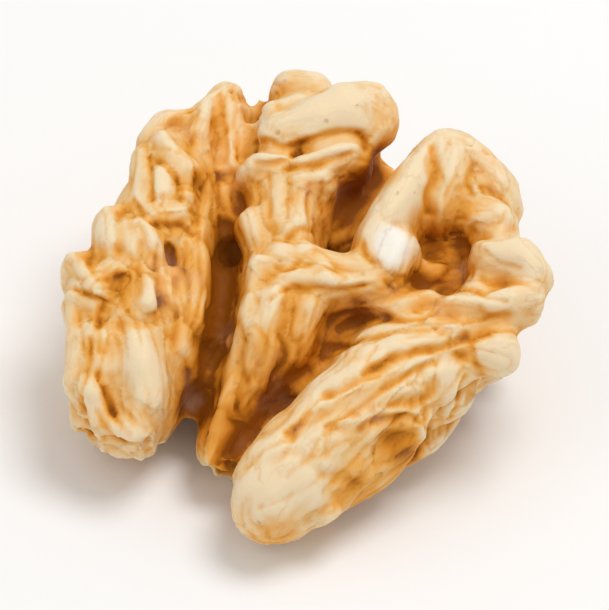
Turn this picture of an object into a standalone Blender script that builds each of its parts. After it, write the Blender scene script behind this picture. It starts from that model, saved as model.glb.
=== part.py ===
"""Half a walnut kernel, lying on its rounded outer side with the inner side up.

The kernel grew as one piece, so it is one object. It is drawn in the frame of its inner face:
x across the two lobes, y from the pointed root tip towards the broad end, and height above the
plane that the rims reach, all in millimetres. The finished kernel then tips a little towards its
root tip, which is how it settles on a table, and stands on z = 0.
"""

import math

import bmesh
import bpy
from mathutils import Matrix, Vector, bvhtree, kdtree, noise

MM = 0.001

# Driving dimensions
FACE_TILT_DEG = 12.0
FLAT_DEPTH = 0.6
TRIANGLE_TARGET = 10600
FUSE_SIZE = 0.22
FILL = 0.4    # how far gaps and sharp valleys fill up from each side, mm

# Places on the inner face are given as they are seen from here: millimetres to the right and up
# in the picture plane, with the height above the inner face as a third number
VIEW_TURN_DEG = 20.0
VIEW_RISE_DEG = 55.0

# The masses of the kernel. Each is a line of stations:
# right, up, height of the crest, half width and half height there
CORES = (
    # The left lobe, with its rim and the wall along the groove
    ((-4.9, 12.2, -0.6, 2.0, 3.4), (-6.8, 9.2, 0.1, 2.8, 4.6), (-8.9, 5.2, 0.4, 3.4, 5.0),
     (-9.8, 1.8, 0.3, 3.9, 5.4), (-10.2, -1.2, -0.3, 3.7, 5.0), (-10.4, -3.4, -1.3, 3.0, 4.0)),
    ((-8.5, 9.4, -0.3, 1.2, 3.2), (-10.4, 5.4, 0.0, 1.7, 3.6), (-12.0, 2.0, -0.4, 1.6, 3.6),
     (-12.4, -1.4, -1.2, 1.5, 3.6), (-11.9, -4.6, -2.2, 1.2, 3.0)),
    ((-5.4, 10.6, -0.5, 1.4, 3.2), (-6.1, 7.4, -0.5, 1.5, 3.4), (-6.5, 4.2, -0.4, 1.6, 3.8),
     (-6.8, 1.0, -0.7, 1.5, 3.8), (-7.2, -2.0, -1.2, 1.4, 3.4)),
    ((-8.6, 8.8, 0.5, 1.3, 2.6), (-8.2, 6.9, 0.6, 1.4, 2.6), (-7.0, 6.6, 0.4, 1.2, 2.6)),
    ((-11.0, 2.4, 0.3, 1.3, 2.6), (-9.6, 1.6, 0.35, 1.4, 2.6), (-8.4, 1.1, 0.25, 1.2, 2.6)),
    ((-9.6, 3.9, 0.5, 1.1, 2.2), (-9.6, 2.2, 0.4, 1.1, 2.2), (-9.3, 0.2, 0.3, 1.1, 2.2)),
    # The right lobe
    ((-1.9, -9.6, -1.9, 2.4, 3.0), (-0.4, -7.3, -0.9, 3.0, 4.0), (2.3, -4.6, -0.2, 3.4, 4.8),
     (5.2, -2.2, 0.0, 3.5, 5.0), (8.2, -0.9, 0.0, 2.9, 4.4), (10.4, 0.8, -0.2, 2.6, 4.2)),
    ((0.4, -8.6, -2.8, 2.2, 3.2), (3.0, -6.9, -2.4, 2.3, 3.4), (5.4, -5.0, -2.0, 2.2, 3.4)),
    # The column between the lobes, its right flank and its foot
    ((0.6, 12.2, 0.4, 2.4, 4.4), (-0.2, 9.4, 0.8, 2.9, 5.4), (-0.6, 6.4, 0.3, 2.5, 5.4),
     (-0.8, 3.4, 0.0, 2.4, 5.0), (-0.9, 1.6, -0.1, 2.4, 4.6)),
    ((0.4, 11.8, 0.6, 2.2, 4.6), (3.0, 11.4, 0.4, 1.9, 4.2)),
    ((2.6, 9.9, 0.1, 1.2, 2.6), (1.4, 8.0, -0.2, 1.2, 2.8), (0.6, 5.8, -0.2, 1.1, 2.8)),
    ((-0.6, 2.0, 0.0, 1.9, 3.4), (1.6, 1.9, 0.1, 1.6, 3.4), (3.6, 1.9, 0.1, 1.4, 3.2),
     (4.8, 2.4, 0.2, 1.2, 3.0)),
    # What joins them on the outer side
    ((-5.8, 3.8, -4.4, 3.4, 4.0), (0.2, 3.4, -4.0, 4.8, 4.4), (6.4, 1.6, -3.8, 4.2, 4.2)),
    # The body of the root tip and the floors of the grooves on either side of it
    ((-1.4, 0.6, -0.3, 1.9, 3.2), (-2.2, -1.6, -1.4, 1.8, 3.0), (-3.2, -3.6, -2.7, 1.6, 2.6),
     (-4.3, -5.6, -4.0, 1.5, 2.0), (-4.9, -7.1, -4.7, 1.3, 1.8), (-5.2, -8.1, -5.2, 1.1, 1.5)),
    ((4.2, 1.3, -1.7, 1.6, 3.2), (2.3, -0.6, -2.2, 1.7, 3.4), (0.7, -2.4, -3.2, 1.8, 3.2),
     (-1.2, -4.7, -4.6, 1.8, 3.0), (-2.8, -6.5, -5.4, 1.8, 2.4), (-3.7, -7.6, -5.8, 1.4, 2.0)),
    ((-3.3, 11.4, -1.6, 1.2, 3.0), (-3.5, 10.0, -1.8, 1.3, 3.0), (-4.0, 8.0, -2.2, 1.5, 3.0),
     (-4.3, 5.8, -2.7, 1.7, 3.2), (-4.6, 3.6, -3.2, 1.7, 3.4), (-5.0, 0.4, -4.5, 1.6, 3.0),
     (-5.6, -2.4, -5.9, 1.2, 2.4)),
    # The floor of the notch between the column and the loop
    ((1.4, 4.6, -2.6, 1.8, 3.0), (3.2, 6.4, -3.2, 2.0, 3.2), (4.4, 8.0, -3.9, 1.7, 3.0)),
    # The floor of the loop at the far end of the right lobe, and its arch
    ((7.0, 5.4, -1.8, 2.8, 3.8), (9.3, 4.3, -1.8, 3.1, 4.4), (10.2, 1.8, -2.0, 3.2, 4.4)),
    ((5.4, 1.5, -1.7, 1.3, 3.0), (7.6, 2.2, -1.7, 1.4, 3.0)),
    ((4.6, 0.2, -0.8, 1.0, 2.6), (5.9, 0.4, -0.6, 1.0, 2.6), (7.4, 0.9, -0.5, 1.0, 2.6)),
    ((5.2, 6.0, 0.9, 1.8, 3.4), (7.0, 7.6, 1.2, 2.0, 3.6), (8.8, 8.0, 1.0, 1.9, 3.6),
     (10.6, 6.8, 0.5, 1.7, 3.2), (11.2, 5.4, 0.2, 1.4, 3.0)),
)

ROLLS = (
    # The loop
    ((4.4, 1.9, 0.0, 1.0, 2.2), (3.9, 3.6, 0.7, 1.3, 2.6), (4.7, 5.4, 1.4, 1.7, 3.0),
     (5.7, 7.3, 1.8, 1.8, 3.2), (6.9, 8.8, 1.9, 1.7, 3.2), (8.2, 9.8, 1.7, 1.6, 3.2),
     (9.5, 9.6, 1.5, 1.5, 3.0), (10.5, 8.7, 1.2, 1.5, 2.8), (11.2, 7.6, 0.9, 1.3, 2.6)),
    ((7.9, 6.2, 0.7, 0.9, 2.4), (8.4, 7.4, 1.3, 1.1, 2.6), (8.8, 8.8, 1.6, 1.3, 2.6)),
    ((11.9, 7.7, 0.2, 0.9, 2.2), (12.0, 6.9, 0.1, 1.0, 2.2)),
    ((9.9, 5.6, 0.3, 0.9, 2.2), (11.2, 5.7, 0.9, 1.2, 2.4)),
    ((10.2, 4.6, 0.0, 0.8, 2.2), (11.6, 4.7, 0.3, 0.9, 2.4)),
    ((5.0, 3.0, 0.7, 1.2, 2.4), (5.6, 4.2, 1.1, 1.3, 2.6)),
    # The knobs where the loop comes down to the right lobe
    ((10.8, 3.6, 0.9, 1.5, 2.8), (12.1, 3.6, 1.2, 1.6, 2.8), (13.1, 2.7, 0.8, 1.4, 2.6)),
    ((8.4, 0.5, -0.1, 0.9, 2.4), (9.8, 0.5, 0.3, 1.0, 2.4), (11.4, 0.8, 0.5, 1.1, 2.4),
     (12.9, 1.0, 0.3, 1.1, 2.4)),
    ((10.0, -1.9, -0.7, 1.2, 2.2), (11.2, -1.7, -0.8, 1.5, 2.0)),
    ((8.4, -4.2, -1.9, 0.9, 2.2), (8.0, -5.0, -2.8, 0.9, 2.2)),
    # The pale rolls at the broad end of the column
    ((-1.3, 10.8, 1.7, 1.6, 1.9), (-0.4, 11.1, 2.0, 1.6, 1.9), (1.2, 11.7, 2.4, 1.7, 1.9),
     (3.1, 12.4, 2.3, 1.8, 2.0), (4.0, 12.0, 1.9, 1.5, 1.6), (4.2, 11.2, 1.5, 1.2, 1.4),
     (3.8, 10.5, 1.1, 1.0, 1.3)),
    ((-1.7, 10.2, 1.3, 1.3, 1.7), (0.4, 10.7, 1.8, 1.2, 1.8), (2.6, 11.3, 1.9, 1.4, 1.8),
     (3.6, 10.9, 1.4, 1.2, 1.6)),
    ((-0.9, 13.5, 1.1, 1.3, 2.2), (0.5, 13.5, 1.4, 1.3, 2.4)),
    ((-3.0, 8.3, 0.7, 1.0, 2.2), (-2.0, 8.8, 1.2, 1.2, 2.2), (-1.0, 8.9, 1.3, 1.1, 2.2)),
    ((-0.2, 8.3, 1.2, 0.9, 2.0), (1.0, 9.0, 1.5, 1.1, 2.2), (2.3, 9.5, 1.4, 1.1, 2.2),
     (3.1, 9.3, 1.0, 0.9, 2.0)),
    ((-0.1, 7.5, 1.0, 0.9, 2.0), (0.9, 7.7, 1.0, 1.0, 2.0)),
    ((-3.1, 5.3, 0.2, 1.0, 2.0), (-2.8, 4.2, 0.1, 0.9, 2.0)),
    ((-1.2, 7.6, 0.65, 1.9, 2.6), (-1.0, 5.0, 0.35, 1.9, 2.6)),
    ((-2.7, 7.7, 0.0, 1.0, 2.4), (-2.5, 6.2, -0.2, 1.0, 2.4)),
    ((-1.6, 7.0, 0.6, 0.9, 1.8), (-1.6, 5.2, 0.35, 0.9, 1.8)),
    ((-0.3, 6.6, 0.65, 0.9, 1.8), (-0.3, 4.8, 0.35, 0.9, 1.8)),
    ((-1.5, 3.4, 0.2, 1.2, 2.2), (0.2, 3.2, 0.4, 1.2, 2.2), (1.8, 2.7, 0.4, 1.1, 2.2),
     (3.4, 2.3, 0.3, 1.0, 2.0)),
    ((-1.2, 1.9, 0.2, 1.0, 2.0), (0.6, 1.7, 0.4, 1.0, 2.0), (2.4, 1.5, 0.3, 0.9, 2.0),
     (4.2, 1.7, 0.2, 0.9, 2.0)),
    # The folds along the root tip
    ((-3.0, 0.6, -0.2, 0.9, 1.8), (-3.5, -1.8, -1.4, 0.9, 1.8), (-4.2, -4.0, -2.6, 0.8, 1.6),
     (-4.9, -6.2, -3.9, 0.7, 1.4), (-5.4, -8.0, -4.9, 0.7, 1.3)),
    ((-1.7, 0.8, 0.3, 1.0, 1.8), (-2.2, -1.2, -0.5, 1.2, 1.8), (-3.0, -3.2, -1.9, 1.0, 1.8),
     (-3.8, -5.2, -3.4, 0.8, 1.6)),
    ((0.2, 0.4, -0.2, 1.0, 1.8), (-0.5, -1.6, -1.3, 1.0, 1.8), (-1.5, -3.4, -2.7, 0.9, 1.7)),
    # The knobs and ovals of the left lobe
    ((-4.7, 12.8, -0.6, 1.3, 2.4), (-5.6, 11.8, 0.3, 1.3, 2.4), (-6.2, 10.5, 0.5, 1.1, 2.2)),
    ((-4.0, 12.0, -0.3, 0.9, 2.2), (-4.2, 10.2, -0.4, 0.9, 2.2), (-4.4, 8.6, -0.5, 0.8, 2.0)),
    ((-9.2, 10.2, -0.1, 0.9, 2.2), (-8.2, 11.2, 0.1, 1.0, 2.2), (-6.9, 11.4, 0.1, 0.9, 2.2)),
    ((-8.1, 9.9, 0.8, 1.1, 2.2), (-7.4, 9.0, 1.0, 1.0, 2.2), (-6.8, 8.2, 0.8, 0.9, 2.0)),
    ((-9.5, 9.2, 0.1, 0.8, 2.4), (-9.6, 7.6, 0.4, 0.8, 2.4), (-9.4, 6.2, 0.6, 0.8, 2.2),
     (-8.4, 5.6, 0.8, 0.7, 2.2), (-7.1, 5.7, 0.6, 0.7, 2.2)),
    ((-8.3, 7.8, 1.1, 1.15, 2.2), (-8.3, 6.9, 1.1, 1.15, 2.2)),
    ((-11.4, 5.6, 0.2, 1.0, 2.4), (-11.3, 4.0, 0.7, 1.1, 2.4)),
    ((-10.2, 5.0, 0.7, 0.7, 2.0), (-10.2, 3.4, 0.8, 0.8, 2.0)),
    ((-9.3, 5.1, 0.9, 0.6, 1.8), (-8.9, 4.0, 0.9, 0.7, 1.8), (-8.6, 3.2, 0.6, 0.5, 1.6)),
    ((-13.3, 3.0, -0.2, 0.9, 2.4), (-12.7, 2.3, 0.3, 0.9, 2.2)),
    ((-12.3, 1.3, 0.2, 0.7, 2.0), (-11.2, 2.2, 0.6, 0.7, 2.0)),
    ((-9.0, 1.5, 0.75, 0.7, 1.8), (-9.0, 0.5, 0.7, 0.7, 1.8)),
    ((-7.8, 1.8, 0.1, 0.5, 1.8), (-7.7, 0.6, 0.0, 0.5, 1.8)),
    ((-13.3, 1.2, -0.4, 0.9, 2.4), (-12.0, 0.8, 0.1, 0.8, 2.2)),
    ((-13.4, 0.0, -1.0, 1.0, 2.4), (-13.4, -2.0, -1.4, 1.0, 2.4), (-13.2, -4.0, -2.0, 0.9, 2.4),
     (-12.8, -5.6, -3.0, 0.9, 2.2)),
    ((-9.6, -0.9, -0.1, 1.4, 2.4), (-9.3, -2.6, -0.1, 1.6, 2.6), (-9.3, -4.4, -0.9, 1.6, 2.6)),
    ((-11.3, -1.7, -0.3, 0.9, 2.2), (-11.2, -3.4, -0.8, 0.9, 2.2)),
    ((-12.1, -4.6, -1.4, 1.0, 2.4), (-11.8, -6.0, -2.2, 1.0, 2.2)),
    ((-9.8, -5.8, -1.8, 1.1, 2.2), (-9.3, -6.6, -2.4, 1.0, 2.0)),
    ((-4.6, 7.2, -1.0, 0.7, 2.0), (-4.5, 5.9, -1.2, 0.7, 2.0)),
    ((-6.0, 4.6, -0.4, 0.7, 2.4), (-5.9, 2.0, -0.7, 0.7, 2.6), (-6.1, -0.6, -1.1, 0.7, 2.6)),
)

# The root tip is a three-sided wedge, the hull of these places
ROOT_TIP = (
    (-2.9, 3.0, 0.2), (0.8, 2.4, 0.0), (-3.2, 0.5, -0.7), (-3.8, -1.6, -1.7), (-4.5, -3.9, -2.9),
    (-5.2, -6.6, -4.2), (-5.9, -9.2, -5.4), (-6.3, -9.6, -6.4), (-4.6, -10.1, -6.4), (2.8, 0.9, -2.2),
    (1.2, -1.4, -3.4), (-0.6, -4.0, -4.8), (-2.8, -6.9, -6.0), (-5.4, 1.6, -5.6), (-5.9, -2.4, -6.4),
    (-6.2, -6.2, -6.8), (-3.0, -4.0, -9.0), (-1.0, 2.0, -9.0),
)

# Creases of the inner face, as they are seen: half width and depth, and places to the right and up
BROAD = (1.1, 1.0)
NARROW = (0.9, 0.7)
DEEP = (0.85, 1.3)
CREASES = (
    # Between the long folds of the right lobe
    (NARROW, ((3.0, -1.1), (4.4, -0.7), (6.0, -0.9), (7.5, -0.9), (9.0, -0.6))),
    (NARROW, ((1.8, -2.7), (3.4, -2.0), (5.0, -1.6), (6.6, -1.6), (8.4, -1.6))),
    (BROAD, ((1.2, -5.0), (3.6, -3.9), (5.0, -3.2), (6.5, -2.7), (8.0, -2.4), (9.2, -1.9),
             (10.4, -1.5))),
    (BROAD, ((-0.9, -7.4), (0.8, -6.3), (2.6, -5.6), (4.7, -4.5), (6.4, -3.8), (7.5, -3.2),
             (9.2, -2.9))),
    (NARROW, ((3.0, -6.2), (4.6, -5.5), (6.5, -5.6), (7.3, -5.1), (7.4, -4.4))),
    (NARROW, ((1.3, -7.0), (3.0, -7.2), (4.2, -6.7), (6.4, -6.6), (7.2, -6.0))),
    (BROAD, ((0.3, -12.3), (1.6, -11.0), (2.6, -10.0), (4.0, -9.0), (4.8, -7.8), (6.2, -7.4))),
    (NARROW, ((-1.8, -8.8), (-0.4, -8.4), (1.0, -9.6), (2.4, -9.8))),
    # Under the pale rolls and round the knobs
    (BROAD, ((7.8, -0.5), (9.0, -0.4), (10.3, -0.8), (11.6, -0.7))),
    (BROAD, ((9.8, 4.1), (11.0, 4.1), (12.4, 4.3))),
    (BROAD, ((-2.9, 9.4), (-2.0, 9.2), (-0.7, 9.1), (0.5, 9.3), (1.8, 9.7), (3.3, 9.7),
             (3.6, 8.8))),
    (NARROW, ((-2.6, 7.8), (-1.2, 8.2), (0.0, 7.9), (1.2, 8.5), (2.4, 8.6))),
    (NARROW, ((7.5, 9.2), (7.3, 8.0), (7.6, 7.2), (7.2, 6.4), (7.5, 5.4))),
    # The pockets and slits of the left lobe
    (DEEP, ((-7.75, 3.4), (-7.65, 2.5))),
    (DEEP, ((-12.3, -1.6), (-12.5, -3.4), (-12.9, -5.2))),
    (BROAD, ((-11.4, 2.0), (-10.6, 1.6))),
    (NARROW, ((-6.2, 7.6), (-5.9, 6.2), (-6.4, 5.0))),
    (NARROW, ((-11.2, -2.4), (-11.3, -4.4), (-10.8, -6.2), (-9.5, -7.2))),
    (NARROW, ((-8.2, 1.4), (-8.2, -0.4), (-9.2, -1.0), (-10.6, -1.2))),
    (NARROW, ((-12.8, 0.6), (-11.6, -0.2), (-12.0, -1.6))),
    (BROAD, ((-5.0, 12.2), (-5.1, 10.6), (-4.9, 8.6))),
)

# Beads are this share of their half width apart, and a mass swells and sways a little as it goes,
# in a way that the seed of the noise settles
NOISE_SEED = 1
BEAD_SPACING = 0.4
SWELL_SIZE = 2.6
SWELL_SHARE = 0.16
SWAY_SIZE = 3.4
SWAY = 0.25

# The folds of the outer side: rounded cells, longer than wide, with creases between them
FOLD_SIZE = 3.3
FOLD_STRETCH = 2.4
FOLD_DEPTH = 1.5
FOLD_ROUND = 0.55
FOLD_WARP_SIZE = 5.5
FOLD_WARP = 1.8
RIGHT_LEAN = 0.35
LEFT_LEAN = -0.14
RIGHT_LEAN_X = (-4.0, 6.0)
LEFT_LEAN_X = (-4.0, -8.0)

# Where those folds begin and where they reach their full depth: by height, by how far the skin faces
# outwards from the middle and upwards, and by how far it faces the viewer of the inner face
MIDDLE = Vector((-1.5, 3.0, -3.0))
FOLD_HEIGHT = (-1.4, -4.0)
FOLD_OUTWARDS = (0.0, 0.25)
FOLD_UPWARDS = (0.6, 0.2)
FOLD_VIEWED = (0.85, 0.2)

# The ends of the right lobe and of the root tip stay smooth: right, up and height there, and the
# distances between which the folds begin
CALM_PLACES = ((-1.4, -12.6, -4.2), (-3.4, -6.6, -7.6))
CALM_REACH = (3.0, 5.4)

# The steps between the points of a crease, and where its line of sight starts
CREASE_STEP = 0.2
SIGHT_START = 60.0

# The block that cuts the small flat spots
TABLE_WIDTH = 80.0
TABLE_DEPTH = 10.0


def clear_scene():
    for obj in list(bpy.data.objects):
        bpy.data.objects.remove(obj)


def between(before, start, end, after, share):
    """The values on the smooth line through four stations, between the middle two."""
    squared = share * share
    cubed = squared * share
    weights = (
        -cubed + 2 * squared - share,
        3 * cubed - 5 * squared + 2,
        -3 * cubed + 4 * squared + share,
        cubed - squared,
    )
    return [sum(w * v for w, v in zip(weights, values)) / 2 for values in zip(before, start, end, after)]


def view_axes():
    """The directions to the right, away along the face, and towards the viewer."""
    turn = Matrix.Rotation(math.radians(VIEW_TURN_DEG), 3, "Z")
    rise = math.radians(VIEW_RISE_DEG)
    right = turn @ Vector((1, 0, 0))
    away = turn @ Vector((0, 1, 0))
    viewer = Vector((0, 0, math.sin(rise))) - away * math.cos(rise)
    return right, away, viewer


def seen(across, up, height):
    """The place that is seen at these millimetres to the right and up, at a height above the face."""
    right, away, _ = view_axes()
    rise = math.radians(VIEW_RISE_DEG)
    return right * across + away * (up - height * math.cos(rise)) / math.sin(rise) + Vector((0, 0, height))


def stations_along(stations, spacing):
    """Stations close together on the smooth line through a mass's own stations."""
    first = [2 * a - b for a, b in zip(stations[0], stations[1])]
    last = [2 * a - b for a, b in zip(stations[-1], stations[-2])]
    points = [first, *stations, last]
    for n in range(len(stations) - 1):
        length = (Vector(stations[n + 1][:3]) - Vector(stations[n][:3])).length
        steps = max(2, math.ceil(length / (spacing * stations[n][3])))
        for step in range(steps + (n == len(stations) - 2)):
            yield between(*points[n : n + 4], step / steps)


def add_mass(bm, stations):
    places = [(*seen(*station[:3]), *station[3:]) for station in stations]
    for x, y, crest, half_width, half_height in stations_along(places, BEAD_SPACING):
        centre = Vector((x, y, crest - half_height))
        centre += noise.noise_vector(centre / SWAY_SIZE) * SWAY
        swell = 1 + SWELL_SHARE * noise.noise(centre / SWELL_SIZE)
        size = Vector((half_width * swell, half_width * swell, half_height))
        place = Matrix.LocRotScale(centre, None, size)
        bmesh.ops.create_icosphere(bm, subdivisions=3, radius=1.0, matrix=place)


def add_root_tip(bm):
    corners = [bm.verts.new(seen(*place)) for place in ROOT_TIP]
    hull = bmesh.ops.convex_hull(bm, input=corners)
    inside = [item for item in hull["geom_interior"] if isinstance(item, bmesh.types.BMVert)]
    bmesh.ops.delete(bm, geom=inside, context="VERTS")


def mesh_of(name, shape, *details):
    """A mesh from a function that adds a shape to a bmesh."""
    bm = bmesh.new()
    shape(bm, *details)
    mesh = bpy.data.meshes.new(name)
    bm.to_mesh(mesh)
    bm.free()
    return mesh


def rough_kernel():
    """All the masses as overlapping closed shapes, in millimetres."""
    meshes = [mesh_of("mass", add_mass, stations) for stations in CORES + ROLLS]
    meshes.append(mesh_of("root_tip", add_root_tip))
    bm = bmesh.new()
    for mesh in meshes:
        bm.from_mesh(mesh)
        bpy.data.meshes.remove(mesh)
    rough = bpy.data.meshes.new("rough_kernel")
    bm.to_mesh(rough)
    bm.free()
    return rough


def evaluated_mesh(obj):
    graph = bpy.context.evaluated_depsgraph_get()
    return bpy.data.meshes.new_from_object(obj.evaluated_get(graph))


def fused(rough, smoothing_rounds):
    """One skin round everything that overlaps, with its creases softened."""
    obj = bpy.data.objects.new("rough_kernel", rough)
    bpy.context.scene.collection.objects.link(obj)
    fuse = obj.modifiers.new("fuse", "REMESH")
    fuse.mode = "VOXEL"
    fuse.voxel_size = FUSE_SIZE
    soften = obj.modifiers.new("soften", "SMOOTH")
    soften.factor = 0.5
    soften.iterations = smoothing_rounds
    mesh = evaluated_mesh(obj)
    bpy.data.objects.remove(obj)
    bpy.data.meshes.remove(rough)
    return mesh


def moved_out(mesh, distance):
    moves = [vertex.normal * distance for vertex in mesh.vertices]
    for vertex, move in zip(mesh.vertices, moves):
        vertex.co += move
    return mesh


def filled(mesh):
    """Swells and shrinks the skin, so that narrow gaps and sharp valleys between the masses fill up."""
    swollen = fused(moved_out(mesh, FILL), 1)
    return fused(moved_out(swollen, -FILL), 2)


def fade(value, limits):
    """0 at the first limit and beyond it, and 1 at the second, with smooth ends."""
    share = min(max((value - limits[0]) / (limits[1] - limits[0]), 0), 1)
    return share * share * (3 - 2 * share)


def fold_carving(point):
    """How far the outer side is cut back at a point, which is most in the creases between folds."""
    warped = point + noise.noise_vector(point / FOLD_WARP_SIZE) * FOLD_WARP
    lean = RIGHT_LEAN * fade(point.x, RIGHT_LEAN_X) + LEFT_LEAN * fade(point.x, LEFT_LEAN_X)
    cell = Vector((warped.x - lean * point.y, warped.y / FOLD_STRETCH, warped.z)) / FOLD_SIZE
    distances, _ = noise.voronoi(cell)
    share = min(1, (distances[1] - distances[0]) / FOLD_ROUND)
    return FOLD_DEPTH * (1 - share) ** 2


def carve_folds(mesh):
    """Presses the creases of the outer side into the skin, fading out towards the inner face."""
    _, _, viewer = view_axes()
    calm_places = [seen(*place) for place in CALM_PLACES]
    moves = []
    for vertex in mesh.vertices:
        outwards = vertex.normal.dot((vertex.co - MIDDLE).normalized())
        weight = fade(vertex.co.z, FOLD_HEIGHT) * fade(outwards, FOLD_OUTWARDS)
        weight *= fade(vertex.normal.z, FOLD_UPWARDS) * fade(vertex.normal.dot(viewer), FOLD_VIEWED)
        weight *= fade(min((vertex.co - place).length for place in calm_places), CALM_REACH)
        moves.append(vertex.normal * weight * fold_carving(vertex.co) if weight else None)
    for vertex, move in zip(mesh.vertices, moves):
        if move:
            vertex.co -= move


def crease_points(surface):
    """The points of each crease where its line of sight meets the surface, with half width and depth."""
    right, _, viewer = view_axes()
    picture_up = viewer.cross(right)
    for (half_width, depth), places in CREASES:
        stations = [(*place, 0, CREASE_STEP) for place in places]
        for across, up, _, _ in stations_along(stations, 1):
            start = right * across + picture_up * up + viewer * SIGHT_START
            hit, _, _, _ = surface.ray_cast(start, -viewer)
            if hit:
                yield hit, half_width, depth


def press_creases(mesh):
    """Presses the creases of the inner face into the skin."""
    bm = bmesh.new()
    bm.from_mesh(mesh)
    points = list(crease_points(bvhtree.BVHTree.FromBMesh(bm)))
    bm.free()
    tree = kdtree.KDTree(len(points))
    for index, (point, _, _) in enumerate(points):
        tree.insert(point, index)
    tree.balance()
    moves = []
    for vertex in mesh.vertices:
        _, index, distance = tree.find(vertex.co)
        _, half_width, depth = points[index]
        share = max(0, 1 - distance / half_width)
        moves.append(vertex.normal * depth * share * share if share else None)
    for vertex, move in zip(mesh.vertices, moves):
        if move:
            vertex.co -= move


def stand(mesh):
    """The place of the inner face's frame when the kernel lies on the table over its own middle."""
    turn = Matrix.Rotation(math.radians(FACE_TILT_DEG), 4, "X")
    points = [turn @ vertex.co for vertex in mesh.vertices]
    low = Vector(min(point[axis] for point in points) for axis in range(3))
    high = Vector(max(point[axis] for point in points) for axis in range(3))
    middle = (low + high) / 2
    return Matrix.Translation(Vector((-middle.x, -middle.y, -low.z - FLAT_DEPTH * MM))) @ turn


def table_cutter(collection):
    """A block that reaches up to z = 0 and gives the kernel its small flat spots."""
    bpy.ops.mesh.primitive_cube_add(size=1)
    block = bpy.context.object
    block.name = "table"
    block.data.transform(Matrix.Translation((0, 0, -TABLE_DEPTH / 2 * MM)) @ Matrix.Diagonal(
        (TABLE_WIDTH * MM, TABLE_WIDTH * MM, TABLE_DEPTH * MM, 1)))
    block.hide_render = True
    block.display_type = "WIRE"
    for other in block.users_collection:
        other.objects.unlink(block)
    collection.objects.link(block)
    return block


def skin_material():
    material = bpy.data.materials.new("walnut_skin")
    material.use_nodes = True
    shader = material.node_tree.nodes["Principled BSDF"]
    shader.inputs["Base Color"].default_value = (0.62, 0.34, 0.12, 1)
    shader.inputs["Roughness"].default_value = 0.5
    shader.inputs["Metallic"].default_value = 0.0
    return material


def new_collection(name):
    collection = bpy.data.collections.new(name)
    bpy.context.scene.collection.children.link(collection)
    return collection


def main():
    clear_scene()
    noise.seed_set(NOISE_SEED)
    parts = new_collection("walnut_kernel")
    cutters = new_collection("cutters")
    mesh = filled(fused(rough_kernel(), 2))
    carve_folds(mesh)
    press_creases(mesh)
    mesh = fused(mesh, 2)
    mesh.transform(Matrix.Scale(MM, 4))
    mesh.name = "kernel"
    mesh.materials.append(skin_material())
    kernel = bpy.data.objects.new("kernel", mesh)
    face = bpy.data.objects.new("inner_face", None)
    face.matrix_world = stand(mesh)
    for obj in (face, kernel):
        parts.objects.link(obj)
    kernel.parent = face
    mesh.calc_loop_triangles()
    thin = kernel.modifiers.new("fewer_faces", "DECIMATE")
    thin.ratio = TRIANGLE_TARGET / len(mesh.loop_triangles)
    flatten = kernel.modifiers.new("flat_spots", "BOOLEAN")
    flatten.operation = "DIFFERENCE"
    flatten.object = table_cutter(cutters)
    kernel.data.shade_smooth()


main()
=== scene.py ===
import math

import bmesh
import bpy
import numpy as np
from mathutils import Matrix, Vector, bvhtree, kdtree, noise


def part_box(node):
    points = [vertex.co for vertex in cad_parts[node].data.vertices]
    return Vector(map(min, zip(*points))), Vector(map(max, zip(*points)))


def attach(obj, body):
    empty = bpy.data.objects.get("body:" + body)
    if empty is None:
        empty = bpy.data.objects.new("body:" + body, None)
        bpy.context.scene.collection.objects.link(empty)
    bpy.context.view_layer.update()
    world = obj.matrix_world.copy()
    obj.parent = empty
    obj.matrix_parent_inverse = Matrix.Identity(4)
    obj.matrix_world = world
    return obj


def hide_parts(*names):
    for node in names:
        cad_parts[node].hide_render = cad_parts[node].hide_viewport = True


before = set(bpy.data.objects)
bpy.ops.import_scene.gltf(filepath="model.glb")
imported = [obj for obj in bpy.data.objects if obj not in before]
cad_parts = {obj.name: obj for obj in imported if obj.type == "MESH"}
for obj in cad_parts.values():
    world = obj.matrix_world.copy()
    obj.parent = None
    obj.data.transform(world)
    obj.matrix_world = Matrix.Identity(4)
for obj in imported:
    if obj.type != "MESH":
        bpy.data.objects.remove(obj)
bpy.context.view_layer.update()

mm = 0.001

# The kernel is shaped in the frame of its inner face, in millimetres: x across the lobes,
# y from the root tip to the broad end, height above the plane that the rims reach.
# Places are given as they are seen: to the right, up the picture, and the height.
sight = {
    "turn": 20.0,        # degrees, round to the right
    "rise": 55.0,        # degrees above the inner face
    "faceTilt": 12.0,    # degrees, how the kernel lies on its outer side
}

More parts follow.
